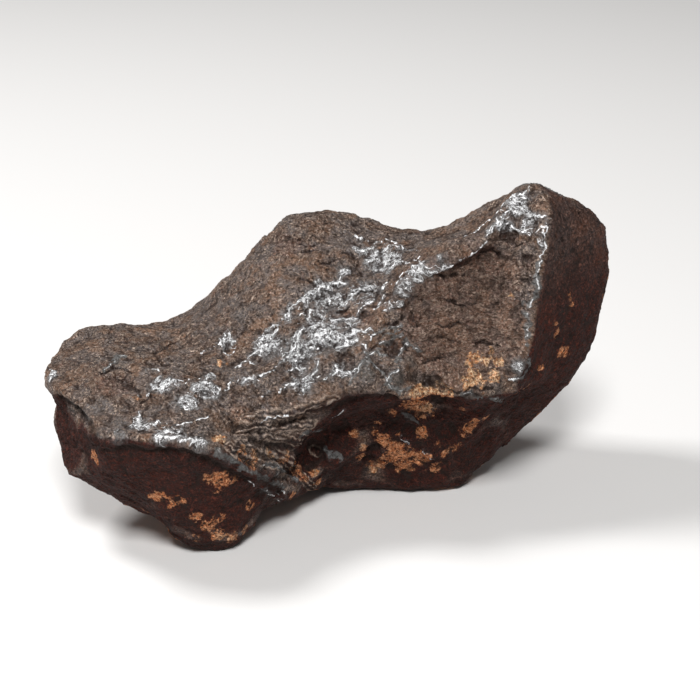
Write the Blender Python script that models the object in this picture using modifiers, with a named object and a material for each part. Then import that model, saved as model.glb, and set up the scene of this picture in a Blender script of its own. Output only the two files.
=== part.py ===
"""An iron meteorite: one solid lump of rusted nickel-iron, 122 mm long, standing on a toe, a sole and a heel.

The lump is lofted through thirteen sections, from its thin left nose to its tall right end, like a boat on frames.
Each section is a ring of fourteen points that runs from the crest down the front, under the sole and up the back.
The smooth skin through those points is then worked: thumbprint hollows and knobs, grooves and ridges, and a
lumpy rind with flat chips. Last, the skin is reduced to triangles and cut off level where it stands.

Metres, +Z up, the long way of the lump along X, its display side towards -Y.
"""

import bpy
import bmesh
import numpy as np
from mathutils import Vector, noise

MM = 0.001
NAME = "meteorite"

# The skin: how finely it is divided, how often its cage is pushed out to meet the points, and by what share.
SKIN_LEVELS = 4
PUSHES = 7
PUSH_SHARE = 0.8

# The rind: lumps of two sizes and flat chips, as the size and the height of each.
LUMP_SIZE, LUMP_HEIGHT = 9.0 * MM, 0.55 * MM
BUMP_SIZE, BUMP_HEIGHT = 4.0 * MM, 0.30 * MM
CHIP_SIZE, CHIP_DEPTH, CHIP_MEAN = 7.0 * MM, 0.55 * MM, 0.25 * MM

# The solid: the grain it is rebuilt at, its number of triangles, and how deep it is cut off level underneath.
GRAIN = 0.7 * MM
TRIANGLES = 9400
FOOT_CUT = 0.8 * MM
FLAT_TOLERANCE = 0.01 * MM

IRON_COLOUR = (0.085, 0.064, 0.052, 1.0)
IRON_ROUGHNESS = 0.6
IRON_METALLIC = 0.3

# The lines that run along the lump, in the order of a section's points.
LINES = (
    "crest", "upper slope", "middle slope", "lower slope", "brow", "trough", "ledge",
    "flank", "toe", "sole", "heel", "low back", "back", "shoulder",
)

# Each section's points in millimetres, one for each line.
SECTIONS = {
    "left end": (
        (-59, 2, 33), (-61, -7, 32), (-57, -16, 32), (-52, -23, 32), (-48, -28, 30), (-47, -31, 29), (-46, -34, 28),
        (-47, -31, 20), (-55, -21, 14), (-57, -15, 16), (-58, -9, 19), (-58, -4, 24), (-59, 0, 28), (-59, 3, 32)),
    "nose": (
        (-47, 3, 35), (-45, -6, 35), (-44, -16, 35), (-42, -23, 33), (-41, -30, 31), (-39, -33, 30), (-38, -36, 29),
        (-39, -33, 20), (-42, -24, 8), (-43, -12, 7), (-44, -1, 13), (-45, 7, 20), (-46, 10, 28), (-47, 8, 34)),
    "left foot, outer": (
        (-34, 9, 35), (-32, -2, 36), (-31, -12, 35), (-29, -21, 33), (-28, -28, 31), (-28, -33, 29), (-27, -36, 28),
        (-28, -33, 17), (-30, -27, 0), (-31, -16, 1), (-32, -2, 7), (-33, 11, 15), (-34, 17, 27), (-34, 15, 34)),
    "left foot, inner": (
        (-22, 14, 44), (-21, 3, 42), (-20, -8, 38), (-19, -17, 34), (-18, -24, 30), (-19, -28, 27), (-20, -33, 24),
        (-20, -29, 13), (-21, -25, -1), (-21, -15, 1), (-21, 1, 5), (-22, 17, 7), (-23, 25, 26), (-23, 21, 40)),
    "arch": (
        (-11, 19, 55), (-11, 7, 51), (-10, -4, 45), (-9, -13, 36), (-8, -19, 29), (-10, -21, 19), (-14, -25, 16),
        (-15, -22, 8), (-16, -20, 3), (-14, -10, 5), (-12, 5, 5), (-12, 24, -1), (-12, 33, 26), (-11, 28, 48)),
    "hollow": (
        (0, 21, 55), (1, 8, 51), (2, -2, 45), (3, -11, 39), (3, -18, 31), (-3, -11, 18), (-9, -15, 8),
        (-9, -14, 5), (-9, -12, 3), (-5, -3, 4), (-2, 11, 3), (-1, 29, 0), (0, 36, 26), (0, 31, 49)),
    "brow": (
        (11, 21, 53), (11, 10, 51), (11, -4, 45), (12, -12, 38), (12, -18, 30), (6, -9, 20), (3, -8, 11),
        (2, -5, 5), (1, -2, -1), (3, 5, 1), (6, 15, 3), (8, 28, 5), (9, 35, 26), (10, 30, 46)),
    "saddle": (
        (21, 19, 52), (20, 8, 54), (20, -2, 53), (22, -6, 42), (21, -16, 29), (17, -9, 25), (14, -7, 15),
        (14, -4, 6), (14, -2, -1), (14, 5, -1), (16, 15, 4), (18, 27, 10), (19, 33, 28), (20, 28, 45)),
    "right foot": (
        (32, 17, 59), (32, 10, 59), (33, 3, 58), (33, -3, 44), (31, -14, 28), (28, -9, 23), (27, -5, 14),
        (26, -3, 5), (27, -1, -1), (26, 7, -1), (27, 16, 6), (30, 25, 16), (31, 30, 33), (32, 25, 51)),
    "peak": (
        (38, 14, 63), (38, 10, 64), (39, 6, 64), (39, 0, 55), (37, -12, 28), (34, -8, 24), (32, -4, 16),
        (31, -1, 8), (31, 2, 1), (31, 8, 2), (33, 16, 8), (35, 23, 18), (37, 28, 35), (38, 23, 55)),
    "right edge": (
        (43, 11, 66), (44, 6, 65), (45, 1, 62), (43, -4, 52), (40, -10, 30), (38, -7, 26), (36, -3, 19),
        (35, 0, 11), (35, 4, 3), (36, 9, 5), (37, 16, 10), (40, 23, 20), (43, 26, 37), (44, 21, 57)),
    "right face": (
        (50, 15, 61), (53, 9, 59), (53, 5, 52), (52, 2, 42), (49, 0, 30), (46, 1, 24), (43, 3, 18),
        (41, 5, 12), (40, 8, 7), (41, 12, 9), (43, 17, 14), (47, 23, 24), (50, 26, 38), (50, 23, 54)),
    "right end": (
        (56, 17, 55), (59, 14, 52), (60, 13, 47), (59, 11, 39), (57, 9, 31), (55, 9, 24), (51, 9, 18),
        (48, 10, 14), (45, 12, 11), (47, 16, 13), (50, 19, 19), (53, 23, 27), (55, 25, 38), (56, 23, 49)),
}

# How sharply the skin turns, from 0 to 1: along a line between two sections, and along a section between two lines.
LINE_CREASES = (
    ("ledge", "nose", "hollow", 0.8),
    ("middle slope", "brow", "peak", 0.5),
    ("brow", "hollow", "right edge", 0.8),
)
SECTION_CREASES = (
    ("left end", "middle slope", "toe", 0.6),
    ("right edge", "upper slope", "brow", 0.6),
)

# Hollows pressed into the skin, in millimetres: the centre, the radius and the depth. A knob has a depth below zero.
HOLLOWS = {
    "nose scar": ((-43, -18, 34), 6, 0.9),
    "nose top": ((-35, -9, 36), 9, 0.8),
    "left slope": ((-18, -10, 38), 11, 1.1),
    "left slope, low": ((-23, -20, 33), 7, 0.7),
    "left peak": ((-7, 9, 53), 9, 0.8),
    "band, high": ((14, 8, 52), 5, 0.9),
    "band, middle": ((-1, -2, 45), 6, 1.0),
    "band, low": ((2, -13, 38), 5, 1.0),
    "saddle": ((24, 10, 56), 9, 1.2),
    "front face, high": ((30, -1, 48), 9, 1.5),
    "front face, low": ((25, -8, 38), 7, 1.0),
    "nook under the fold": ((18, -6, 45), 5, 1.6),
    "hollow between the feet": ((-4, -11, 15), 9, 1.8),
    "hollow, high": ((6, -9, 20), 7, 1.3),
    "hollow under the lip": ((21, -8, 24), 6, 1.2),
    "left foot, front": ((-32, -33, 17), 10, 0.9),
    "right face, high": ((53, 6, 50), 10, 1.2),
    "right face, low": ((48, 0, 32), 8, 1.0),
    "lump by the fold, high": ((11, -9, 41), 4, -0.9),
    "lump by the fold, low": ((13, -15, 35), 4, -1.2),
    "lump by the brow": ((7, -16, 35), 4, -0.9),
    "knob under the right edge": ((39, -9, 34), 4, -1.2),
    "lump under the lip": ((29, -8, 26), 5, -1.0),
    "lump by the sole": ((20, -4, 10), 5, -0.8),
    "back of the nose": ((-48, 8, 28), 7, 1.4),
    "back of the slope": ((-32, 16, 27), 10, 2.4),
    "back, left": ((-18, 29, 36), 10, 3.0),
    "back, left, low": ((-22, 21, 17), 9, 2.2),
    "back, middle": ((0, 37, 34), 9, 2.6),
    "back, middle, low": ((-2, 35, 16), 9, 2.2),
    "back, right": ((15, 33, 38), 9, 2.8),
    "back, right, low": ((13, 32, 20), 9, 2.3),
    "back of the peak": ((32, 28, 46), 10, 2.8),
    "back of the right foot": ((29, 27, 25), 9, 2.2),
    "back of the right edge": ((48, 24, 40), 8, 1.9),
    "crest, left": ((-6, 26, 53), 8, 1.4),
    "crest, right": ((13, 27, 49), 7, 1.4),
    "underside, left": ((-32, -7, 5), 8, 1.4),
    "underside, middle": ((-7, -1, 4), 9, 1.6),
    "underside, heel": ((3, 14, 3), 7, 1.2),
    "underside, nose": ((-46, -7, 13), 6, 1.0),
    "underside, right": ((40, 14, 11), 7, 1.3),
}

# Ridges laid along lines on the skin, in millimetres: their points, the width and the height. A groove has a
# height below zero.
RIDGES = {
    "fold from the right peak": (((33, 3, 58), (27, 0, 55), (18, -3, 52), (15, -3, 49), (14, -6, 46), (8, -8, 42)), 3, 0.9),
    "right edge": (((44, 0, 62), (44, -2, 57), (42, -4, 51), (41, -6, 43), (41, -7, 38)), 3, 0.8),
    "step below the peak": (((33, 2, 57), (35, 3, 57), (39, 1, 57), (43, -1, 59)), 3, 0.7),
    "lip of the front face": (((16, -14, 35), (21, -12, 33), (24, -13, 31), (27, -12, 30), (33, -10, 30)), 3, 0.8),
    "groove under the lip": (((17, -14, 32), (22, -12, 29), (24, -9, 27), (28, -9, 26), (33, -8, 26)), 3, -1.4),
    "band across the slope": (((-14, -16, 34), (-7, -10, 39), (3, -8, 41), (8, -8, 42)), 3, 0.8),
    "band, second": (((-5, -16, 34), (1, -11, 39)), 3, 0.6),
    "brow": (((-17, -25, 28), (-7, -18, 29), (-1, -17, 31), (4, -16, 32), (14, -14, 31)), 3, 0.6),
    "groove under the brow": (((-15, -24, 27), (-10, -20, 26), (-5, -17, 26), (2, -15, 28)), 3, -0.8),
    "flow ridge in the trough": (((-21, -31, 27), (-15, -24, 22), (-10, -16, 15), (-6, -11, 7)), 3, 1.0),
    "groove beside the ledge": (((-16, -27, 23), (-12, -21, 17), (-9, -15, 11)), 3, -0.9),
    "flake under the ledge": (((-17, -29, 19), (-12, -21, 12), (-9, -14, 5)), 3, 0.9),
    "end groove": (((-55, -18, 30), (-54, -21, 20)), 3, -0.9),
    "back ridge": (((-9, 33, 44), (-9, 34, 28), (-11, 30, 10)), 5, 1.0),
    "back ridge, right": (((23, 30, 48), (23, 32, 32), (20, 27, 12)), 5, 1.2),
    "back ridge, end": (((41, 26, 52), (41, 27, 38), (37, 21, 16)), 4, 1.0),
}


def clear_scene():
    for old in list(bpy.data.objects):
        bpy.data.objects.remove(old)


def lofted_cage():
    """The coarse closed cage: a quad between each two lines of each two sections, and a cap at each end."""
    shape = bmesh.new()
    rings = [[shape.verts.new(Vector(point) * MM) for point in ring] for ring in SECTIONS.values()]
    for ring, following in zip(rings, rings[1:]):
        for i in range(len(LINES)):
            j = (i + 1) % len(LINES)
            shape.faces.new((ring[i], ring[j], following[j], following[i]))
    shape.faces.new(reversed(rings[0]))
    shape.faces.new(rings[-1])
    bmesh.ops.recalc_face_normals(shape, faces=shape.faces)
    crease_edges(shape, rings)
    mesh = bpy.data.meshes.new(NAME + " cage")
    shape.to_mesh(mesh)
    shape.free()
    return mesh


def crease_edges(shape, rings):
    names = list(SECTIONS)
    crease = shape.edges.layers.float.new("crease_edge")
    for line, start, end, sharpness in LINE_CREASES:
        i = LINES.index(line)
        for k in range(names.index(start), names.index(end)):
            shape.edges.get((rings[k][i], rings[k + 1][i]))[crease] = sharpness
    for section, start, end, sharpness in SECTION_CREASES:
        ring = rings[names.index(section)]
        for i in range(LINES.index(start), LINES.index(end)):
            shape.edges.get((ring[i], ring[i + 1]))[crease] = sharpness


def evaluated_mesh(lump):
    """The object's mesh with its modifiers worked in."""
    graph = bpy.context.evaluated_depsgraph_get()
    graph.update()
    return bpy.data.meshes.new_from_object(lump.evaluated_get(graph), depsgraph=graph)


def settle(lump):
    """Works the object's modifiers into its mesh."""
    mesh = evaluated_mesh(lump)
    lump.modifiers.clear()
    lump.data = mesh


def vertex_values(mesh, name):
    values = np.empty(len(mesh.vertices) * 3)
    mesh.vertices.foreach_get(name, values)
    return values.reshape(-1, 3)


def place_vertices(mesh, places):
    mesh.vertices.foreach_set("co", places.ravel())
    mesh.update()


def stretch_skin(lump):
    """Divides the cage to a smooth skin, and pushes the cage out until the skin meets the sections' points."""
    skin = lump.modifiers.new("skin", "SUBSURF")
    skin.levels = skin.render_levels = SKIN_LEVELS
    wanted = vertex_values(lump.data, "co")
    cage = wanted.copy()
    for _ in range(PUSHES):
        reached = vertex_values(evaluated_mesh(lump), "co")[:len(wanted)]
        cage += (wanted - reached) * PUSH_SHARE
        place_vertices(lump.data, cage)
    settle(lump)


def dome(distance, reach):
    """1 in the middle, falling smoothly to 0 at the reach."""
    return np.clip(1.0 - (distance / reach) ** 2, 0.0, 1.0) ** 2


def distance_to_path(places, path):
    nearest = np.full(len(places), np.inf)
    for start, end in zip(path, path[1:]):
        start, along = np.array(start) * MM, (np.array(end) - np.array(start)) * MM
        share = np.clip((places - start) @ along / (along @ along), 0.0, 1.0)
        nearest = np.minimum(nearest, np.linalg.norm(places - start - share[:, None] * along, axis=1))
    return nearest


def rind_height(place):
    """The height of the lumpy rind at a place: soft lumps, smaller bumps and chips with level floors."""
    lump = noise.fractal(place / LUMP_SIZE, 0.6, 2.1, 3) * LUMP_HEIGHT
    bump = noise.noise(place / BUMP_SIZE + Vector((7.0, 3.0, 5.0))) * BUMP_HEIGHT
    near, far = noise.voronoi(place / CHIP_SIZE + Vector((0.4, 0.1, 0.7)))[0][:2]
    chip = min(far - near, 0.35) / 0.35 * CHIP_DEPTH
    return lump + bump + chip - CHIP_MEAN


def carve(lump):
    """Works the hollows, the ridges and the rind into the skin, square to it."""
    mesh = lump.data
    places = vertex_values(mesh, "co")
    normals = vertex_values(mesh, "normal")
    height = np.zeros(len(places))
    for centre, radius, depth in HOLLOWS.values():
        height -= depth * MM * dome(np.linalg.norm(places - np.array(centre) * MM, axis=1), radius * MM)
    for path, width, rise in RIDGES.values():
        height += rise * MM * dome(distance_to_path(places, path), width * MM)
    height += [rind_height(Vector(place)) for place in places]
    place_vertices(mesh, places + normals * height[:, None])


def rebuild(lump):
    """Rebuilds the carved skin as one even closed mesh, and reduces it to the number of triangles."""
    even = lump.modifiers.new("grain", "REMESH")
    even.mode = "VOXEL"
    even.voxel_size = GRAIN
    settle(lump)
    fewer = lump.modifiers.new("fewer triangles", "DECIMATE")
    fewer.ratio = TRIANGLES / (2 * len(lump.data.polygons))
    fewer.use_collapse_triangulate = True
    settle(lump)


def cut_level(lump):
    """Cuts the lump off level just above its lowest points and closes the cuts."""
    shape = bmesh.new()
    shape.from_mesh(lump.data)
    level = min(v.co.z for v in shape.verts) + FOOT_CUT
    whole = shape.verts[:] + shape.edges[:] + shape.faces[:]
    cut = bmesh.ops.bisect_plane(
        shape, geom=whole, dist=FLAT_TOLERANCE, plane_co=(0.0, 0.0, level), plane_no=(0.0, 0.0, -1.0), clear_outer=True)
    rims = [part for part in cut["geom_cut"] if isinstance(part, bmesh.types.BMEdge)]
    bmesh.ops.triangle_fill(shape, edges=rims, use_beauty=True)
    for vert in shape.verts:
        if vert.co.z < level + FLAT_TOLERANCE:
            vert.co.z = level
    bmesh.ops.recalc_face_normals(shape, faces=shape.faces)
    shape.to_mesh(lump.data)
    shape.free()


def stand_on_origin(lump):
    """Moves the lump so that the middle of its box stands over the origin, and its flats lie on z = 0."""
    places = vertex_values(lump.data, "co")
    low, high = places.min(axis=0), places.max(axis=0)
    stand = np.array(((low[0] + high[0]) / 2, (low[1] + high[1]) / 2, low[2]))
    place_vertices(lump.data, places - stand)


def iron_material():
    material = bpy.data.materials.new("rusted iron")
    material.use_nodes = True
    surface = material.node_tree.nodes["Principled BSDF"]
    surface.inputs["Base Color"].default_value = IRON_COLOUR
    surface.inputs["Roughness"].default_value = IRON_ROUGHNESS
    surface.inputs["Metallic"].default_value = IRON_METALLIC
    return material


def main():
    clear_scene()
    collection = bpy.data.collections.new("iron meteorite")
    bpy.context.scene.collection.children.link(collection)
    lump = bpy.data.objects.new(NAME, lofted_cage())
    collection.objects.link(lump)
    stretch_skin(lump)
    carve(lump)
    rebuild(lump)
    cut_level(lump)
    stand_on_origin(lump)
    lump.data.name = NAME
    lump.data.materials.append(iron_material())


main()
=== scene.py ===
import math
import bpy
import bmesh
import numpy as np
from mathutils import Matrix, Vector, noise
from mathutils.bvhtree import BVHTree


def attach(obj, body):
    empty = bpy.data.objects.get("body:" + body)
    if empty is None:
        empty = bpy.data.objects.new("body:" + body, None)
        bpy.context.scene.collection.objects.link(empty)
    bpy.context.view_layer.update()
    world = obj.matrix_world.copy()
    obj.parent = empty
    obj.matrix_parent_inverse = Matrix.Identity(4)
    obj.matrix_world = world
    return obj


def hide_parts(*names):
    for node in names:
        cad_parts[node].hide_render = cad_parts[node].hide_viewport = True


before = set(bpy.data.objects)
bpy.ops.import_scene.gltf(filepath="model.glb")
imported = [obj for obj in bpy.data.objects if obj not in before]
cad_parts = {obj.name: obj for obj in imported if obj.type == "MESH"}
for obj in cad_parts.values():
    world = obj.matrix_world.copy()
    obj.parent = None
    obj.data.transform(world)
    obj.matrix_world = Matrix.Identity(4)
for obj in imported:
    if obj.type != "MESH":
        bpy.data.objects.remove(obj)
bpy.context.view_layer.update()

mm = 0.001  # all lengths below are in metres unless a note says millimetres
print("frame loaded")

# Front view, from a little above. Crests, cracks and stains are given as points of this view,
# 700 by 700, and each lands on the stone where the line of sight through it meets the surface.
frontView = {
    "aim": (0.0037, -0.0030, 0.0358),
    "elevation": math.radians(25),
    "distance": 0.352,
    "lens": 85.0,
    "sensor": 36.0,
    "clipStart": 0.01,
    "side": 700,
}


def viewLines(view):
    tilt = view["elevation"]
    ahead = Vector((0, math.cos(tilt), -math.sin(tilt)))
    up = Vector((0, math.sin(tilt), math.cos(tilt)))
    return Vector(view["aim"]) - ahead * view["distance"], ahead, up


def makeCamera(view):
    lens = bpy.data.cameras.new("front camera")
    lens.lens = view["lens"]
    lens.sensor_width = view["sensor"]
    lens.clip_start = view["clipStart"]
    camera = bpy.data.objects.new("front camera", lens)
    bpy.context.scene.collection.objects.link(camera)
    bpy.context.scene.camera = camera
    camera.location = viewLines(view)[0]
    camera.rotation_euler = (math.pi / 2 - view["elevation"], 0, 0)


def lineOfSight(point, view):
    eye, ahead, up = viewLines(view)
    focus = view["side"] * view["lens"] / view["sensor"]
    across = (point[0] - view["side"] / 2) / focus
    down = (point[1] - view["side"] / 2) / focus
    return eye, (ahead + Vector((across, 0, 0)) - up * down).normalized()


makeCamera(frontView)

# The visible stone: the solid's own form, rebuilt as one fine even skin.
fineSkin = {
    "weld": 0.001 * mm,
    "grain": 0.36 * mm,
    "softening": 18,
    "softeningShare": 0.5,
    "mostTriangles": 198000,
}


def plainMesh(thing):
    graph = bpy.context.evaluated_depsgraph_get()
    graph.update()
    return bpy.data.meshes.new_from_object(thing.evaluated_get(graph), depsgraph=graph)


def settle(thing):
    mesh = plainMesh(thing)
    thing.modifiers.clear()
    thing.data = mesh


def makeSkin(solid, wanted):
    shape = bmesh.new()
    shape.from_mesh(solid.data)
    bmesh.ops.remove_doubles(shape, verts=shape.verts, dist=wanted["weld"])
    mesh = bpy.data.meshes.new("iron_skin")
    shape.to_mesh(mesh)
    shape.free()
    skin = bpy.data.objects.new("iron_skin", mesh)
    bpy.context.scene.collection.objects.link(skin)
    even = skin.modifiers.new("even grain", "REMESH")
    even.mode = "VOXEL"
    even.voxel_size = wanted["grain"]
    soft = skin.modifiers.new("soft facets", "SMOOTH")
    soft.iterations = wanted["softening"]
    soft.factor = wanted["softeningShare"]
    settle(skin)
    return skin


stone = makeSkin(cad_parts["meteorite"], fineSkin)
sight = BVHTree.FromObject(stone, bpy.context.evaluated_depsgraph_get())
print("fine skin:", len(stone.data.polygons), "faces")


def readPlaces(mesh):
    flat = np.empty(len(mesh.vertices) * 3)
    mesh.vertices.foreach_get("co", flat)
    return flat.reshape(-1, 3)


def readNormals(mesh):
    flat = np.empty(len(mesh.vertices) * 3)
    mesh.vertex_normals.foreach_get("vector", flat)
    return flat.reshape(-1, 3)


def writeLayer(mesh, name, values):
    layer = mesh.attributes.new(name, "FLOAT", "POINT")
    layer.data.foreach_set("value", values.astype(np.float32))


def writeWays(mesh, name, ways):
    layer = mesh.attributes.new(name, "FLOAT_VECTOR", "POINT")
    layer.data.foreach_set("vector", ways.astype(np.float32).ravel())


def onStone(point):
    eye, ray = lineOfSight(point, frontView)
    hit = sight.ray_cast(eye, ray)[0]
    if hit is None:
        raise ValueError(f"the front view shows no stone at {point}")
    return np.array(hit)


def fade(distance, reach, core=0.0):
    share = np.clip((reach - distance) / (reach - core), 0, 1)
    return share * share * (3 - 2 * share)


def wayToStrokes(places, strokes):  # from each place to the nearest point of the strokes
    way = np.full((len(places), 3), np.inf)
    nearest = np.full(len(places), np.inf)
    for stroke in strokes:
        spots = [onStone(point) for point in stroke]
        for start, end in zip(spots, spots[1:]):
            along = end - start
            share = np.clip((places - start) @ along / (along @ along), 0, 1)
            toLine = start + share[:, None] * along - places
            distance = np.linalg.norm(toLine, axis=1)
            closer = distance < nearest
            way[closer] = toLine[closer]
            nearest[closer] = distance[closer]
    return way, nearest


def wander(places, size, reach):
    return np.array([noise.noise_vector(Vector(place / size)) for place in places]) * reach


# The waver that all strokes and blots share: size and reach of each noise.
wavers = ((1.3 * mm, 0.50 * mm), (5 * mm, 0.35 * mm))
waverSeed = 5

noise.seed_set(waverSeed)
places = readPlaces(stone.data)
normals = readNormals(stone.data)
ragged = places
for waverSize, waverReach in wavers:
    ragged = ragged + wander(places, waverSize, waverReach)

# Pale crests: lines where a whitish crust stands up from the rind; their white is partly a painted highlight.
paleCrestsAndHighlights = [
    [(260, 378), (267, 374), (274, 370), (281, 363), (287, 357), (292, 352), (295, 345), (297, 337),
     (302, 330)],
    [(248, 357), (255, 352), (262, 349), (268, 346), (276, 343)],
    [(257, 344), (264, 337), (270, 336), (277, 331)],
    [(318, 336), (323, 331), (330, 331), (334, 335), (340, 338), (348, 336), (355, 333), (365, 332),
     (374, 329)],
    [(311, 345), (315, 340), (319, 337), (326, 334)],
    [(320, 341), (328, 338), (334, 341), (341, 342), (349, 340)],
    [(338, 348), (345, 344), (352, 341), (358, 339)],
    [(356, 338), (361, 343), (365, 346), (366, 353)],
    [(365, 346), (370, 340), (375, 335)],
    [(312, 346), (308, 351), (302, 356), (296, 361)],
    [(320, 362), (319, 368), (313, 375), (306, 383), (302, 389)],
    [(337, 364), (338, 370), (343, 374), (350, 373), (357, 370)],
    [(324, 378), (331, 377), (335, 372)],
    [(281, 389), (288, 386), (296, 382)],
    [(288, 320), (289, 312), (290, 305), (296, 304), (302, 300), (306, 297)],
    [(306, 306), (307, 299), (313, 297), (318, 291), (322, 289), (329, 288)],
    [(317, 280), (320, 286), (319, 291)],
    [(309, 320), (311, 312), (316, 313), (321, 317)],
    [(311, 329), (316, 326), (320, 325)],
    [(325, 286), (332, 285), (339, 283), (346, 284)],
    [(338, 281), (340, 275), (346, 272)],
    [(343, 305), (348, 301), (353, 298)],
    [(357, 314), (361, 308), (366, 304), (371, 302)],
    [(350, 298), (356, 292), (362, 289), (371, 288)],
    [(376, 310), (382, 306), (389, 305)],
    [(385, 313), (392, 308), (401, 304)],
    [(379, 304), (383, 297), (381, 290), (387, 284)],
    [(372, 248), (377, 243), (382, 243), (386, 240), (392, 240), (396, 243), (401, 246), (404, 251)],
    [(384, 253), (388, 247), (394, 245), (400, 249)],
    [(365, 263), (371, 258), (376, 252)],
    [(376, 271), (384, 268), (387, 262), (393, 259)],
    [(400, 258), (405, 252), (411, 251), (417, 252)],
    [(390, 272), (394, 266), (400, 262), (408, 264), (414, 267), (421, 268)],
    [(400, 277), (407, 273), (413, 273), (420, 271), (427, 271)],
    [(396, 284), (401, 279), (406, 279)],
    [(408, 286), (412, 281), (419, 280)],
    [(420, 258), (421, 264), (421, 270)],
    [(354, 236), (359, 240), (363, 238)],
    [(356, 250), (361, 253), (366, 250)],
    [(226, 333), (222, 340), (222, 347), (225, 353), (230, 356), (234, 352)],
    [(231, 330), (229, 336), (230, 341), (235, 342)],
    [(203, 353), (210, 348)],
    [(236, 368), (243, 362), (250, 360), (256, 364)],
    [(262, 398), (270, 392), (279, 391)],
    [(243, 384), (250, 379), (258, 384)],
    [(268, 330), (274, 324), (281, 325)],
    [(330, 300), (336, 296), (341, 298)],
    [(296, 318), (302, 314), (307, 318)],
    [(334, 322), (341, 318), (350, 321), (357, 318)],
    [(290, 372), (297, 368), (304, 370)],
    [(203, 384), (209, 382), (215, 386), (218, 392), (216, 397), (210, 400), (206, 397)],
    [(201, 379), (206, 377), (211, 374), (215, 377)],
    [(226, 390), (230, 384), (232, 379)],
    [(182, 400), (188, 397), (193, 402), (198, 409)],
    [(183, 405), (189, 410)],
    [(192, 390), (196, 385), (201, 388)],
    [(139, 393), (144, 390), (150, 389), (162, 390)],
    [(141, 397), (146, 397), (150, 391)],
    [(152, 384), (158, 390), (163, 385), (170, 381), (178, 382)],
    [(180, 386), (185, 384), (191, 380)],
    [(147, 370), (156, 369), (159, 375), (157, 380)],
    [(133, 428), (140, 427), (150, 429), (163, 431), (172, 433), (181, 437)],
    [(160, 438), (170, 439), (178, 441), (190, 441), (201, 441)],
    [(176, 425), (190, 423), (197, 420), (208, 418)],
    [(153, 424), (157, 420), (160, 423)],
    [(135, 428), (138, 422), (140, 412)],
    [(428, 272), (440, 268), (450, 264), (458, 258), (466, 253), (474, 249), (482, 244), (487, 238),
     (492, 231),
     (498, 224), (498, 216), (503, 209), (510, 203), (515, 198), (522, 197), (528, 193), (531, 189)],
    [(463, 238), (475, 232), (484, 225), (490, 220), (497, 215)],
    [(523, 210), (530, 214), (536, 215), (543, 219), (549, 222)],
    [(498, 228), (510, 226), (518, 230), (528, 233), (538, 233), (544, 230)],
    [(516, 199), (522, 201), (528, 200)],
    [(504, 216), (512, 211), (518, 212)],
    [(545, 215), (547, 225), (545, 235), (544, 245), (541, 255), (540, 263)],
    [(50, 369), (54, 376), (53, 383)],
    [(331, 417), (338, 413), (346, 408)],
    [(259, 422), (270, 416), (285, 412)],
    [(248, 480), (256, 486), (263, 486), (272, 494), (279, 500)],
    [(281, 489), (286, 495)],
    [(508, 377), (514, 379), (520, 378)],
    [(400, 437), (405, 441), (410, 448)],
    [(423, 450), (427, 454), (431, 459)],
]

# Grey crests: broader, duller ridges of bare metal.
greyCrests = [
    [(540, 263), (537, 272), (536, 288), (533, 297), (529, 306), (528, 318), (528, 330), (526, 345)],
    [(524, 304), (524, 315), (527, 325)],
    [(215, 451), (226, 456), (240, 463), (254, 471), (266, 479), (283, 486)],
    [(262, 464), (272, 466), (284, 472), (297, 481)],
    [(352, 381), (358, 370), (367, 359), (375, 367), (384, 376)],
    [(104, 371), (110, 366), (115, 362), (118, 355), (125, 357)],
    [(398, 362), (403, 350), (407, 341), (412, 346), (420, 352)],
    [(386, 356), (376, 352), (367, 354)],
    [(376, 334), (388, 327), (400, 325)],
    [(396, 371), (390, 375), (385, 382), (390, 388), (399, 390), (407, 388)],
    [(520, 378), (528, 371), (529, 362)],
    [(380, 345), (392, 340), (402, 336)],
    [(404, 413), (411, 416), (418, 421)],
    [(462, 394), (470, 392), (478, 398)],
    [(489, 398), (495, 398), (500, 401)],
    [(325, 448), (330, 456), (336, 452), (342, 460)],
    [(300, 436), (308, 430), (318, 431)],
]

# Cracks and creases: fine lines cut into the rind and painted dark as shade.
darkCracks = [
    [(99, 375), (106, 373), (110, 370), (115, 367), (121, 367), (127, 370), (132, 373)],
    [(135, 387), (139, 391), (141, 397)],
    [(141, 402), (146, 399), (152, 395)],
    [(155, 352), (165, 349), (172, 344), (177, 340), (186, 335), (191, 333)],
    [(301, 243), (306, 246), (313, 246)],
    [(305, 252), (312, 250), (318, 249)],
    [(322, 262), (330, 262), (335, 259)],
    [(300, 277), (308, 282), (315, 285)],
    [(343, 253), (350, 254), (355, 258)],
    [(338, 311), (343, 309), (348, 306)],
    [(358, 293), (365, 290), (372, 291)],
    [(439, 243), (450, 239), (460, 237), (469, 232)],
    [(433, 274), (443, 274), (447, 277), (455, 275), (463, 274)],
    [(480, 254), (486, 248), (492, 249), (498, 255)],
    [(517, 279), (527, 279), (531, 283)],
    [(519, 322), (525, 321)],
    [(411, 312), (414, 319), (420, 325)],
    [(424, 373), (436, 377), (440, 381), (446, 388), (454, 393), (462, 391), (470, 388), (492, 389)],
    [(424, 362), (436, 356), (448, 359)],
    [(404, 316), (397, 322), (385, 326)],
    [(404, 344), (408, 352), (404, 360)],
    [(232, 427), (245, 426), (262, 424)],
    [(228, 419), (233, 425)],
    [(275, 426), (288, 422), (305, 418)],
    [(222, 444), (240, 457), (252, 463), (266, 468)],
    [(262, 470), (275, 478), (287, 479)],
    [(232, 430), (246, 433), (262, 433)],
    [(515, 245), (521, 244)],
    [(448, 300), (460, 304), (474, 302)],
    [(436, 323), (450, 326), (462, 322)],
    [(476, 343), (488, 341), (499, 345)],
    [(430, 340), (444, 337), (455, 341)],
]

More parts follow.
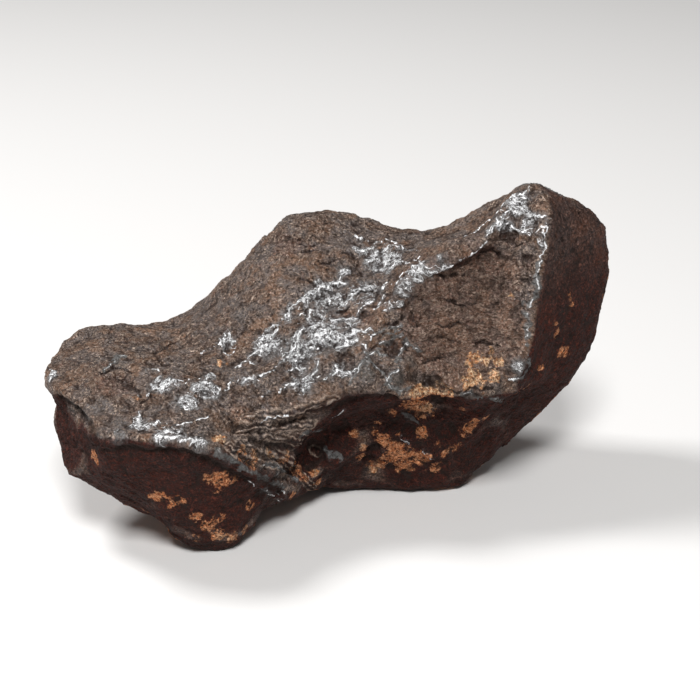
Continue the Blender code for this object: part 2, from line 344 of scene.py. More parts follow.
# Flow layers: long lips of metal, one over the other, between the brow and the ledge.
flowLips = [
    [(228, 447), (245, 455), (262, 461), (280, 466)],
    [(272, 453), (286, 460), (298, 470), (306, 482), (312, 488)],
    [(262, 447), (280, 455), (292, 465), (301, 476)],
    [(238, 443), (256, 450), (276, 457)],
    [(236, 431), (254, 428), (272, 429), (290, 425), (312, 424)],
    [(245, 418), (266, 416), (286, 412), (310, 405), (335, 397)],
    [(262, 436), (280, 437), (300, 442), (318, 452)],
]

# Keen edges: where two faces of the stone meet in a crisp ridge.
keenEdges = [
    [(531, 189), (515, 198), (503, 209), (498, 222), (487, 238), (474, 249), (458, 258), (440, 268),
     (420, 274),
     (404, 285), (390, 303), (378, 322), (368, 338)],
    [(538, 195), (546, 214), (545, 234), (541, 255), (537, 272), (535, 290), (529, 306), (528, 330),
     (525, 350),
     (518, 372)],
    [(47, 383), (60, 388), (72, 396), (80, 405), (91, 415), (98, 422), (103, 434), (108, 444), (120, 440),
     (135, 440), (150, 443), (170, 442), (190, 444), (200, 448), (212, 452), (222, 459), (235, 464),
     (248, 471),
     (262, 480), (276, 488), (284, 497)],
    [(250, 424), (275, 416), (300, 408), (325, 398), (350, 386), (370, 383), (386, 384), (399, 389),
     (412, 385),
     (425, 371), (436, 375), (448, 387), (458, 390), (475, 388), (500, 380)],
]

# Seams: the shadowed grooves just under the edges.
deepSeams = [
    [(60, 396), (72, 404), (83, 415), (91, 425), (96, 437), (103, 450), (112, 451), (122, 447), (135, 447),
     (150, 450), (170, 449), (190, 451), (200, 455), (210, 459), (220, 467), (235, 472), (248, 479)],
    [(335, 408), (352, 400), (368, 396), (384, 398), (400, 400)],
    [(426, 379), (436, 382), (443, 390), (453, 398), (464, 397), (478, 394)],
    [(258, 474), (268, 482), (280, 490)],
    [(250, 441), (266, 446), (284, 446), (300, 456)],
]

# Scars and holes: the places where flakes have come away, with their reach and depth in millimetres.
scars = [
    ((115, 385), 4.4, 0.45), ((374, 449), 1.8, 1.0), ((368, 458), 1.3, 0.8), ((312, 455), 4.0, 0.8),
    ((300, 466), 2.6, 0.6), ((438, 399), 1.9, 0.7), ((408, 432), 2.2, 0.6), ((446, 432), 3.0, 0.7),
    ((434, 425), 1.8, 0.5), ((480, 410), 2.6, 0.6), ((340, 425), 2.6, 0.7), ((390, 398), 2.2, 0.6),
    ((286, 245), 4.0, 0.3), ((345, 362), 2.6, 0.25), ((365, 318), 2.6, 0.3), ((328, 300), 3.0, 0.35),
    ((340, 315), 2.6, 0.35), ((448, 288), 4.0, 0.3), ((490, 262), 3.4, 0.45), ((472, 326), 1.7, 0.5),
    ((416, 320), 1.8, 0.6), ((394, 350), 2.4, 0.4), ((430, 352), 3.4, 0.3),
    ((510, 235), 2.4, 0.35), ((528, 262), 2.2, 0.35), ((572, 262), 3.6, 0.3), ((566, 318), 3.0, 0.3),
    ((240, 408), 3.0, 0.25), ((205, 392), 1.2, 0.35), ((165, 365), 1.2, 0.25), ((110, 417), 1.4, 0.25),
]

# Lumps: small swellings, with their reach and height in millimetres.
lumps = [
    ((366, 374), 3.0, 0.6), ((397, 379), 2.6, 0.8), ((410, 362), 3.0, 0.5), ((388, 334), 3.0, 0.4),
    ((516, 239), 0.9, 0.4), ((517, 366), 2.6, 0.5), ((272, 470), 2.2, 0.5), ((284, 475), 1.8, 0.4),
    ((408, 417), 1.6, 0.5), ((470, 396), 2.0, 0.5), ((495, 399), 1.4, 0.5), ((334, 455), 2.0, 0.5),
    ((420, 403), 2.8, 0.4), ((421, 432), 1.6, 0.5), ((468, 434), 2.0, 0.5), ((400, 455), 4.2, 0.4),
    ((118, 358), 1.8, 0.35), ((210, 376), 1.2, 0.3), ((143, 393), 1.2, 0.35), ((392, 254), 2.6, 0.5),
    ((404, 270), 2.6, 0.4), ((325, 338), 2.2, 0.4), ((312, 313), 1.4, 0.3),
]

# Blots: soft patches, each with its place, its reach in millimetres and its strength.
crustBlots = [
    ((325, 335), 9.0, 1.0), ((300, 350), 8.0, 1.0), ((325, 300), 9.0, 0.9), ((385, 262), 8.0, 1.0),
    ((270, 345), 7.0, 0.9), ((228, 342), 3.0, 0.8), ((350, 325), 7.0, 0.7), ((345, 368), 6.0, 0.7),
    ((400, 290), 6.0, 0.8), ((205, 390), 5.0, 1.0), ((165, 385), 5.0, 0.8), ((185, 402), 5.0, 1.0),
    ((140, 425), 4.5, 0.8), ((180, 436), 4.5, 0.8), ((250, 380), 6.0, 0.5), ((305, 385), 6.0, 0.7),
    ((365, 290), 7.0, 0.8), ((420, 270), 5.0, 1.0), ((440, 260), 4.0, 0.7), ((490, 228), 2.5, 0.6),
    ((517, 205), 4.5, 1.0), ((530, 222), 4.5, 0.9), ((505, 225), 3.5, 0.8), ((540, 240), 2.0, 0.6),
    ((51, 377), 2.5, 1.0), ((210, 376), 2.0, 1.0), ((360, 250), 5.0, 0.7), ((345, 270), 5.0, 0.7),
    ((265, 275), 4.0, 0.4), ((285, 285), 4.0, 0.5), ((100, 405), 6.0, 0.45), ((120, 425), 5.0, 0.5),
    ((145, 372), 4.0, 0.4), ((120, 434), 4.0, 0.7), ((160, 437), 4.0, 0.9), ((200, 443), 4.0, 0.9),
    ((230, 458), 3.0, 0.6), ((285, 315), 5.0, 0.6), ((240, 315), 5.0, 0.4), ((345, 345), 7.0, 0.6),
    ((385, 345), 5.0, 0.3), ((395, 378), 4.5, 0.35), ((365, 372), 4.0, 0.4), ((415, 345), 3.5, 0.4),
    ((517, 365), 3.6, 0.9), ((527, 315), 2.6, 0.6), ((275, 470), 4.0, 0.7), ((262, 490), 3.0, 0.5),
    ((470, 396), 3.0, 0.5), ((410, 417), 2.2, 0.6), ((430, 300), 6.0, 0.3), ((470, 325), 6.0, 0.25),
    ((330, 455), 3.0, 0.4), ((215, 405), 6.0, 0.4), ((500, 250), 6.0, 0.35),
]
ochreBlots = [
    ((95, 457), 2.4, 1.0), ((222, 482), 3.6, 0.9), ((213, 478), 2.6, 0.8), ((232, 480), 2.4, 0.7),
    ((158, 495), 2.4, 0.7), ((170, 503), 2.2, 0.6), ((180, 500), 1.8, 0.5), ((197, 518), 2.2, 0.9),
    ((208, 526), 2.4, 0.9), ((218, 534), 2.2, 0.9), ((218, 518), 2.2, 0.6), ((235, 537), 2.2, 0.9),
    ((244, 530), 1.6, 0.8), ((195, 538), 1.8, 0.5), ((314, 470), 1.8, 1.0), ((317, 481), 1.8, 0.9),
    ((218, 438), 1.8, 0.9), ((240, 452), 2.4, 0.7), ((252, 458), 2.4, 0.7), ((283, 458), 2.4, 0.8),
    ((296, 469), 2.4, 0.8), ((304, 480), 1.8, 0.8), ((292, 494), 1.6, 0.6), ((270, 452), 2.2, 0.5),
    ((476, 355), 2.2, 1.0), ((492, 352), 1.8, 0.9), ((470, 364), 1.6, 0.8), ((484, 361), 1.6, 0.9),
    ((500, 362), 1.8, 0.8), ((474, 376), 2.4, 1.0), ((493, 376), 2.2, 0.9), ((466, 384), 2.0, 0.7),
    ((484, 386), 2.2, 0.7), ((412, 403), 3.2, 1.0), ((425, 408), 3.0, 1.0), ((420, 394), 3.0, 0.9),
    ((438, 389), 2.6, 0.9), ((447, 396), 2.2, 0.8), ((392, 413), 1.8, 0.9), ((379, 421), 1.3, 0.8),
    ((398, 432), 1.3, 0.8), ((421, 430), 1.8, 0.9), ((422, 438), 1.6, 0.8), ((464, 410), 1.4, 0.9),
    ((475, 421), 1.7, 0.7), ((486, 417), 1.6, 0.5), ((464, 434), 2.2, 0.9), ((470, 427), 1.8, 0.8),
    ((455, 446), 2.2, 0.5), ((384, 438), 2.4, 0.9), ((364, 447), 1.6, 0.9), ((361, 457), 1.6, 0.9),
    ((371, 467), 2.4, 1.0), ((382, 463), 2.2, 0.9), ((394, 446), 3.0, 1.0), ((390, 456), 2.6, 1.0),
    ((406, 454), 3.4, 1.0), ((421, 459), 3.0, 1.0), ((404, 466), 3.0, 1.0), ((434, 467), 2.8, 0.7),
    ((375, 431), 1.5, 0.7), ((354, 434), 1.6, 0.5), ((438, 445), 1.3, 0.6), ((446, 455), 2.4, 0.5),
    ((554, 325), 1.2, 0.9), ((556, 333), 1.5, 1.0), ((569, 297), 1.3, 0.9), ((571, 304), 1.1, 0.8),
    ((564, 352), 2.2, 0.5), ((222, 363), 1.8, 0.55), ((540, 368), 1.3, 0.5), ((136, 397), 1.0, 0.8),
    ((510, 298), 1.8, 0.4), ((250, 505), 2.2, 0.4),
]
# Painted shade: the dark lower faces and undersides, where little light falls.
paintedShadeBlots = [
    ((110, 470), 12.0, 1.0), ((150, 470), 14.0, 1.0), ((200, 490), 16.0, 1.0), ((240, 500), 12.0, 1.0),
    ((62, 410), 6.0, 0.9), ((70, 440), 9.0, 1.0), ((88, 440), 6.0, 0.9), ((330, 440), 9.0, 0.9),
    ((360, 415), 6.0, 0.8), ((400, 430), 10.0, 0.9), ((450, 430), 10.0, 1.0), ((480, 405), 6.0, 0.9),
    ((520, 400), 9.0, 0.9), ((560, 370), 12.0, 0.9), ((580, 310), 12.0, 0.8), ((300, 462), 7.0, 0.9),
    ((420, 470), 12.0, 0.9), ((480, 450), 10.0, 1.0), ((505, 400), 8.0, 0.9),
]

# Streaked faces: where the rind is combed level, slanting or steep.
levelBlots = [
    ((440, 300), 12, 1), ((480, 280), 12, 1), ((490, 330), 12, 1), ((430, 340), 10, 1),
    ((460, 365), 9, 0.8),
]
slantBlots = [
    ((250, 450), 9, 1), ((280, 465), 9, 1), ((220, 440), 6, 0.8), ((290, 425), 9, 0.9),
    ((330, 405), 9, 0.8),
]
steepBlots = [((65, 420), 8, 1), ((75, 450), 8, 1), ((90, 430), 7, 0.8)]

# The flat middle of each kind of blot, as a share of its reach.
cores = {"scar": 0.72, "lump": 0.1, "ochre": 0.3, "shade": 0.5, "streak": 0.4}

# Painted shade on the right flank: where it starts and is full along the stone, and between which heights it
# deepens.
flankShade = {"start": 34 * mm, "full": 40 * mm, "top": 58 * mm, "foot": 34 * mm, "topShare": 0.62}


def waves(size, turn):  # smooth noise over the stone, from -1 to 1
    shift = Vector((turn, 2 * turn, 3 * turn))
    return np.array([noise.noise(Vector(place / size) + shift) for place in ragged])


def blotLayer(blots, core=0.0):
    layer = np.zeros(len(ragged))
    for point, reach, strength in blots:
        distance = np.linalg.norm(ragged - onStone(point), axis=1)
        layer = np.maximum(layer, strength * fade(distance, reach * mm, reach * mm * core))
    return layer


def ramp(values, start, width):
    return np.clip((values - start) / width, 0, 1)


# Sides the front view doesn't show: the same crusts, cracks and stains, spread by noise.
# Each noise has its size and its offset.
spreadNoise = {
    "patches": (10 * mm, 3.7),
    "stains": (4 * mm, 8.1),
    "crests": (5 * mm, 1.3),
    "cracks": (8 * mm, 5.9),
    "crackPatches": (6 * mm, 7.7),
}
farGap = 6  # millimetres; a stroke farther away than this counts as absent
spreadShares = {"crust": 0.85, "shade": 0.9}  # how strong they are there

eye = np.array(viewLines(frontView)[0])
toEye = (eye - places) / np.linalg.norm(eye - places, axis=1)[:, None]
hidden = ramp(-np.einsum("ij,ij->i", toEye, normals), -0.2, 0.3)
patches = waves(*spreadNoise["patches"])
faceUp = np.clip(normals[:, 2] * 1.5 + 0.4, 0, 1)
faceDown = ramp(-normals[:, 2], -0.15, 0.6)
notUp = ramp(-normals[:, 2], -0.62, 0.25)
faceRight = ramp(normals[:, 0], 0.1, 0.4)
beyond = ramp(ragged[:, 0], flankShade["start"], flankShade["full"] - flankShade["start"])
below = ramp(-ragged[:, 2], -flankShade["top"], flankShade["top"] - flankShade["foot"])
flank = faceRight * beyond * (flankShade["topShare"] + (1 - flankShade["topShare"]) * below)
# Painted shade: blots on faces that don't face up, and the right flank.
shaded = np.maximum(blotLayer(paintedShadeBlots, cores["shade"]) * notUp, flank)
crusted = hidden * faceUp * np.clip(patches * 3 + 0.2, 0, 1)
stained = hidden * (1 - faceUp) * np.clip(0.3 - patches * 3, 0, 1)
stained = stained * np.clip(waves(*spreadNoise["stains"]) * 2 + 0.7, 0, 1)
cracked = hidden * np.clip(waves(*spreadNoise["crackPatches"]) * 3, 0, 1)
spread = {
    "crest": np.abs(waves(*spreadNoise["crests"])) * 8 + (1 - crusted) * farGap,
    "crack": np.abs(waves(*spreadNoise["cracks"])) * 12 + (1 - cracked) * farGap,
}

# Each kind of stroke leaves the distance to it, and the painted ones also the way to it, in millimetres.
strokeKinds = {
    "crest": paleCrestsAndHighlights,
    "grey": greyCrests,
    "crack": darkCracks,
    "flow": flowLips,
    "edge": keenEdges,
    "seam": deepSeams,
}
paintedKinds = ("crest", "grey", "crack", "flow")
for name, strokes in strokeKinds.items():
    way, gap = wayToStrokes(ragged, strokes)
    writeLayer(stone.data, name + "Gap", np.minimum(np.minimum(gap / mm, farGap), spread.get(name, farGap)))
    if name in paintedKinds:
        writeWays(stone.data, name + "Way", way / mm)

blotLayers = {
    "scar": blotLayer(scars, cores["scar"]),
    "lump": blotLayer(lumps, cores["lump"]),
    "crust": np.maximum(blotLayer(crustBlots), crusted * spreadShares["crust"]),
    "ochre": np.maximum(blotLayer(ochreBlots, cores["ochre"]), stained),
    # painted shade on all downward faces as well
    "shade": np.maximum(shaded, faceDown * spreadShares["shade"]),
    "levelStreak": blotLayer(levelBlots, cores["streak"]),
    "slantStreak": blotLayer(slantBlots, cores["streak"]),
    "steepStreak": blotLayer(steepBlots, cores["streak"]),
}
for name, values in blotLayers.items():
    writeLayer(stone.data, name, values)
print("crests, cracks and stains placed")


def addNode(tree, kind, inputs=None, **settings):
    node = tree.nodes.new(kind)
    for name, value in settings.items():
        setattr(node, name, value)
    for key, value in (inputs or {}).items():
        if isinstance(value, bpy.types.NodeSocket):
            tree.links.new(value, node.inputs[key])
        else:
            node.inputs[key].default_value = value
    return node


def maths(tree, operation, first, second=0.0, third=0.0):
    return addNode(tree, "ShaderNodeMath", {0: first, 1: second, 2: third}, operation=operation).outputs[0]


def vectorMaths(tree, operation, first, second):
    key = "Scale" if operation == "SCALE" else 1
    return addNode(tree, "ShaderNodeVectorMath", {0: first, key: second}, operation=operation).outputs[0]


def dotProduct(tree, first, second):
    product = addNode(tree, "ShaderNodeVectorMath", {0: first, 1: second}, operation="DOT_PRODUCT")
    return product.outputs["Value"]


def rescale(tree, value, low, high, newLow=0.0, newHigh=1.0, kind="SMOOTHSTEP"):
    inputs = {"Value": value, "From Min": low, "From Max": high, "To Min": newLow, "To Max": newHigh}
    return addNode(tree, "ShaderNodeMapRange", inputs, interpolation_type=kind).outputs[0]


def cloudNoise(tree, place, scale, detail=3.0, roughness=0.6):
    inputs = {"Vector": place, "Scale": scale, "Detail": detail, "Roughness": roughness}
    return addNode(tree, "ShaderNodeTexNoise", inputs).outputs[0]


def ridgeNoise(tree, place, scale, detail=4.0):
    inputs = {"Vector": place, "Scale": scale, "Detail": detail, "Roughness": 0.5, "Offset": 1.0, "Gain": 1.0}
    settings = {"noise_type": "RIDGED_MULTIFRACTAL", "normalize": False}
    ridges = addNode(tree, "ShaderNodeTexNoise", inputs, **settings).outputs[0]
    return rescale(tree, ridges, 0.6, 1.7, kind="LINEAR")


def bentPlace(tree, place, scale, reach):
    bend = addNode(tree, "ShaderNodeTexNoise", {"Vector": place, "Scale": scale, "Detail": 3.0}).outputs[1]
    bend = vectorMaths(tree, "SUBTRACT", bend, (0.5, 0.5, 0.5))
    return vectorMaths(tree, "ADD", place, vectorMaths(tree, "SCALE", bend, reach))


def thread(tree, place, scale, width):  # thin winding lines, 1 on the line and 0 beside it
    level = maths(tree, "ABSOLUTE", maths(tree, "SUBTRACT", cloudNoise(tree, place, scale, 3.0, 0.6), 0.5))
    return rescale(tree, level, width, 0.0, kind="LINEAR")


def filaments(tree, place, scale, width):  # a dense mat of thin smooth threads
    total = 0.0
    for turn, share in ((1.0, 1.0), (1.37, 0.85)):
        shifted = vectorMaths(tree, "ADD", place, (17.0 * turn, 5.0 * turn, 31.0 * turn))
        level = cloudNoise(tree, shifted, scale * turn, 1.0, 0.45)
        level = maths(tree, "ABSOLUTE", maths(tree, "SUBTRACT", level, 0.5))
        total = maths(tree, "MAXIMUM", total, rescale(tree, level, width, 0.0, 0.0, share))
    return total


def webPattern(tree, place, width):  # the crust's net of crests, from 0 to 1
    bent = bentPlace(tree, place, 0.5, 2.2)
    broad = maths(tree, "MULTIPLY", thread(tree, bent, 0.45, width), 0.9)
    return maths(tree, "MAXIMUM", broad, thread(tree, place, 1.05, width))


def combed(tree, place, direction, share=0.75):  # squeezed along a direction, so that patterns run along it
    cut = maths(tree, "MULTIPLY", dotProduct(tree, place, direction), -share)
    return vectorMaths(tree, "ADD", place, vectorMaths(tree, "SCALE", direction, cut))


streakDirections = {
    "levelStreak": (1.0, 0.0, 0.0),
    "slantStreak": (0.92, 0.0, -0.39),
    "steepStreak": (0.10, 0.25, -0.96),
}


def flakes(tree, place, scale):  # leaning plates with sharp edges
    cells = addNode(tree, "ShaderNodeTexVoronoi", {"Vector": place, "Scale": scale, "Randomness": 1.0})
    middle = vectorMaths(tree, "SUBTRACT", place, cells.outputs["Position"])
    lean = vectorMaths(tree, "SUBTRACT", cells.outputs["Color"], (0.5, 0.5, 0.5))
    return maths(tree, "MULTIPLY", dotProduct(tree, middle, lean), scale)


def streaks(tree, place, layer, scale):
    total = 0.0
    for name, direction in streakDirections.items():
        lines = ridgeNoise(tree, combed(tree, place, direction), scale, 3.0)
        total = maths(tree, "MULTIPLY_ADD", lines, layer(name), total)
    return total


# Relief of the rind, as heights in millimetres.
reliefSizes = {
    "Broad Height": 1.2,
    "Flake Height": 0.5,
    "Web Height": 0.25,
    "Crest Height": 0.24,
    "Edge Height": 0.75,
    "Seam Depth": 0.65,
    "Scar Depth": 1.0,
    "Lump Height": 1.0,
    "Crack Depth": 0.50,
    "Flow Height": 0.50,
    "Streak Height": 0.42,
    "Grain Height": 0.35,
}

# Scales of the relief's patterns, as waves per millimetre; the bend's reach is in millimetres.
reliefScales = {
    "bend": 0.3,
    "bendReach": 4.0,
    "broad": 0.16,
    "flake": 0.28,
    "smallFlake": 0.62,
    "grain": 0.7,
    "streak": 0.85,
    "netWidth": 0.14,
}
footFade = (0.3, 3.0)  # millimetres above the floor between which the relief grows to its full height


def reliefTree(sizes, scales):
    tree = bpy.data.node_groups.new("stone relief", "GeometryNodeTree")
    face = tree.interface
    face.new_socket("Geometry", in_out="INPUT", socket_type="NodeSocketGeometry")
    for name in sizes:
        face.new_socket(name, in_out="INPUT", socket_type="NodeSocketFloat")
    face.new_socket("Material", in_out="INPUT", socket_type="NodeSocketMaterial")
    face.new_socket("Geometry", in_out="OUTPUT", socket_type="NodeSocketGeometry")
    entry = addNode(tree, "NodeGroupInput")
    leave = addNode(tree, "NodeGroupOutput")

    def layer(name):
        return addNode(tree, "GeometryNodeInputNamedAttribute", {"Name": name}, data_type="FLOAT").outputs[0]

    position = addNode(tree, "GeometryNodeInputPosition").outputs[0]
    place = vectorMaths(tree, "SCALE", position, 1 / mm)
    bent = bentPlace(tree, place, scales["bend"], scales["bendReach"])

    broad = maths(tree, "SUBTRACT", cloudNoise(tree, place, scales["broad"], 4.0), 0.5)
    plates = flakes(tree, bent, scales["flake"])
    plates = maths(tree, "MULTIPLY_ADD", flakes(tree, bent, scales["smallFlake"]), 0.5, plates)
    web = webPattern(tree, place, scales["netWidth"])
    grain = maths(tree, "SUBTRACT", cloudNoise(tree, place, scales["grain"], 2.0, 0.55), 0.5)
    crest = maths(tree, "MAXIMUM", rescale(tree, layer("crestGap"), 0.75, 0.05),
                  rescale(tree, layer("greyGap"), 0.8, 0.05))
    parts = {
        "Broad Height": broad,
        "Flake Height": plates,
        "Web Height": maths(tree, "MULTIPLY", web, maths(tree, "MULTIPLY_ADD", layer("crust"), 0.8, 0.2)),
        "Crest Height": crest,
        "Edge Height": rescale(tree, layer("edgeGap"), 2.4, 0.0, kind="LINEAR"),
        "Seam Depth": rescale(tree, layer("seamGap"), 1.4, 0.2, 0.0, -1.0),
        "Scar Depth": maths(tree, "MULTIPLY", layer("scar"), -1.0),
        "Lump Height": layer("lump"),
        "Crack Depth": rescale(tree, layer("crackGap"), 0.7, 0.1, 0.0, -1.0),
        "Flow Height": rescale(tree, layer("flowGap"), 0.8, 0.1),
        "Streak Height": streaks(tree, bent, layer, scales["streak"]),
        "Grain Height": grain,
    }
    height = 0.0
    for name, part in parts.items():
        height = maths(tree, "MULTIPLY_ADD", part, entry.outputs[name], height)
    rise = addNode(tree, "ShaderNodeSeparateXYZ", {0: place}).outputs["Z"]
    height = maths(tree, "MULTIPLY", height, rescale(tree, rise, *footFade))
    height = maths(tree, "MULTIPLY", height, mm)

    kept = addNode(tree, "GeometryNodeStoreNamedAttribute",
                   {"Geometry": entry.outputs["Geometry"], "Name": "skinPlace", "Value": place},
                   data_type="FLOAT_VECTOR", domain="POINT")
    push = vectorMaths(tree, "SCALE", addNode(tree, "GeometryNodeInputNormal").outputs[0], height)
    moved = addNode(tree, "GeometryNodeSetPosition", {"Geometry": kept.outputs[0], "Offset": push})
    real = addNode(tree, "GeometryNodeRealizeInstances", {"Geometry": moved.outputs[0]})
    dressed = addNode(tree, "GeometryNodeSetMaterial",
                      {"Geometry": real.outputs[0], "Material": entry.outputs["Material"]})
    tree.links.new(dressed.outputs[0], leave.inputs[0])
    return tree


def applyRelief(thing, sizes, scales, material):
    relief = thing.modifiers.new("stone relief", "NODES")
    relief.node_group = reliefTree(sizes, scales)
    for item in relief.node_group.interface.items_tree:
        if item.in_out == "INPUT" and item.name in sizes:
            relief[item.identifier] = sizes[item.name]
        if item.in_out == "INPUT" and item.name == "Material":
            relief[item.identifier] = material
    settle(thing)


def writeHollows(mesh, name, rounds, reach):  # how far each point lies above its neighbourhood
    ends = np.empty(len(mesh.edges) * 2, dtype=np.int64)
    mesh.edges.foreach_get("vertices", ends)
    first, second = ends[0::2], ends[1::2]
    count = np.bincount(ends, minlength=len(mesh.vertices)).astype(float)
    start = readPlaces(mesh)
    even = start.copy()
    for _ in range(rounds):
        sums = np.empty_like(even)
        for axis in range(3):
            sums[:, axis] = np.bincount(first, even[second, axis], len(count))
            sums[:, axis] += np.bincount(second, even[first, axis], len(count))
        even = sums / count[:, None]
    above = np.einsum("ij,ij->i", start - even, readNormals(mesh))
    writeLayer(mesh, name, np.clip(above / reach, -1, 1))


def thinOut(thing, mostTriangles):
    triangles = sum(len(face.vertices) - 2 for face in thing.data.polygons)
    thin = thing.modifiers.new("fewer faces", "DECIMATE")
    thin.ratio = min(1, mostTriangles / triangles)
    settle(thing)
    thing.data.shade_smooth()


# Finish of the rind.
ironLooks = {
    "rind": (0.078, 0.048, 0.035, 1),
    "warmRind": (0.165, 0.092, 0.057, 1),
    # warmer tone of the front face, also painted lighter as painted light
    "flushAndLightRind": (0.195, 0.100, 0.068, 1),
    "coolRind": (0.100, 0.086, 0.082, 1),
    "redRind": (0.160, 0.066, 0.044, 1),
    "darkLumpRind": (0.045, 0.042, 0.035, 1),
    "thread": (0.52, 0.395, 0.315, 1),
    "steel": (0.140, 0.142, 0.140, 1),
    "pitAndShade": (0.022, 0.012, 0.009, 1),
    "film": (0.150, 0.148, 0.148, 1),
    # white of the crust, partly a painted highlight on the crests and glints
    "crust": (0.97, 0.97, 0.98, 1),
    "ochre": (0.24, 0.095, 0.040, 1),
    "tan": (0.47, 0.22, 0.095, 1),
    "paleTan": (0.85, 0.60, 0.38, 1),
    # painted shade for lower faces and the right flank, tinted maroon like bounced red light
    "shade": (0.26, 0.080, 0.056, 1),
    # rust under the painted shade is darkened and reddened with this
    "shadedRust": (0.98, 0.62, 0.46, 1),
    "metallic": 0.15,
    "specular": 0.3,
    "roughness": (0.32, 0.6),
    "shadeRoughness": 0.85,
}

# Cloudy patterns of the finish: waves per millimetre, detail and roughness.
clouds = {
    "tone": (0.13, 4.0, 0.6),
    "coolTone": (0.24, 5.0, 0.6),
    "stain": (0.36, 4.0, 0.6),
    "mottle": (0.55, 6.0, 0.72),
    "lace": (1.0, 3.0, 0.7),
    "swell": (1.1, 1.0, 0.4),
    "speckle": (1.25, 3.0, 0.6),
    "pits": (1.5, 3.0, 0.65),
    "grit": (2.1, 2.0, 0.6),
}
bentClouds = ("stain", "lace")  # these lie on the bent place

# Other fine patterns: waves per millimetre, and how far a bend reaches or how wide a thread is.
finePatterns = {
    "bend": 0.9,
    "bendReach": 1.0,
    "mat": 0.72,
    "matWidth": 0.03,
    "netWidth": 0.03,
    "flake": 0.8,
    "stripe": 1.9,
}

# Where a colour shows on a pattern: the levels where it starts and where it is full, and its share there.
shows = {
    "warmRind": ("tone", 0.42, 0.62, 1.0),
    "coolRind": ("coolTone", 0.44, 0.58, 0.75),
    "redRind": ("mottle", 0.56, 0.72, 0.7),
    "paleGrit": ("grit", 0.55, 0.66, 0.36),
    "darkGrit": ("grit", 0.45, 0.36, 0.6),
    "tan": ("speckle", 0.42, 0.58, 1.0),
    "paleRust": ("grit", 0.5, 0.62, 0.7),
    "darkRust": ("mottle", 0.43, 0.36, 0.7),
    "pits": ("pits", 0.46, 0.37, 0.85),
}

# Lines painted along the strokes, in millimetres: the stroke, the distance where the line starts to show,
# the distance where it is full, the waves per millimetre of its waver, and how far it wavers.
paintedLines = {
    "crest": ("crest", 0.22, 0.06, 0.6, 2.0),
    "steel": ("grey", 0.65, 0.30, 0.6, 2.0),
    "steelGlint": ("grey", 0.16, 0.05, 0.5, 1.0),
    "flow": ("flow", 0.30, 0.10, 0.3, 0.6),
    "flowGlint": ("flow", 0.16, 0.05, 0.3, 0.6),
    "crack": ("crack", 0.26, 0.10, 0.6, 2.0),
}

# Fainter lines beside the strokes, in millimetres: the stroke, the line's distance from it, its half width,
# the waves per millimetre of its waver, and how far it wavers.
sideLines = {
    "crest": ("crest", 0.75, 0.14, 0.45, 2.8),
    "flow": ("flow", 1.0, 0.30, 0.3, 0.9),
    "flowGroove": ("flow", 0.5, 0.22, 0.3, 0.6),
}
mostWaver = 1.2  # millimetres that a line may wander from its stroke

# How far each marking covers what lies under it.
covers = {
    "scar": 0.7,
    "flushAndLight": 0.45,
    "lump": 0.5,
    "stripe": 0.6,
    "film": 0.85,
    "steel": 0.8,
    "steelGlint": 0.5,
    "flow": 0.7,
    "flowGlint": 0.35,
    "shadedPale": 0.6,
    "shadedRust": 0.8,
    "seam": 0.75,
    "dark": 0.85,
    "hollow": 0.85,
}

# How strongly each noise frays the rust stains.
stainFraying = {"stain": 4.6, "lace": 3.2}

# Where the rind is combed, the share that is left of each fine pattern.
combedShares = {"mat": 0.5, "pits": 0.55, "hollow": 0.7}

# Heights of the finish's bump in millimetres.
bumpHeights = {"mat": 0.28, "pale": 0.14, "flake": 0.95, "swell": 1.1, "stripe": 0.30}


def blend(tree, share, first, second, kind="MIX"):
    node = addNode(tree, "ShaderNodeMix", data_type="RGBA", blend_type=kind)
    for key, value in ((0, share), (6, first), (7, second)):
        if isinstance(value, bpy.types.NodeSocket):
            tree.links.new(value, node.inputs[key])
        else:
            node.inputs[key].default_value = value
    return node.outputs[2]


def vectorLayer(tree, name):
    return addNode(tree, "ShaderNodeAttribute", attribute_name=name).outputs["Vector"]


def waveringGap(tree, place, layer, name, scale, reach):  # distance to a stroke whose line wavers finely
    way = vectorLayer(tree, name + "Way")
    toward = addNode(tree, "ShaderNodeVectorMath", {0: way}, operation="NORMALIZE").outputs[0]
    bend = addNode(tree, "ShaderNodeTexNoise", {"Vector": place, "Scale": scale, "Detail": 2.0}).outputs[1]
    bend = vectorMaths(tree, "SUBTRACT", bend, (0.5, 0.5, 0.5))
    aside = dotProduct(tree, bend, toward)
    length = addNode(tree, "ShaderNodeVectorMath", {0: way}, operation="LENGTH").outputs["Value"]
    wavering = maths(tree, "ABSOLUTE", maths(tree, "MULTIPLY_ADD", aside, reach, length))
    return maths(tree, "MAXIMUM", wavering, maths(tree, "SUBTRACT", layer(name + "Gap"), mostWaver))


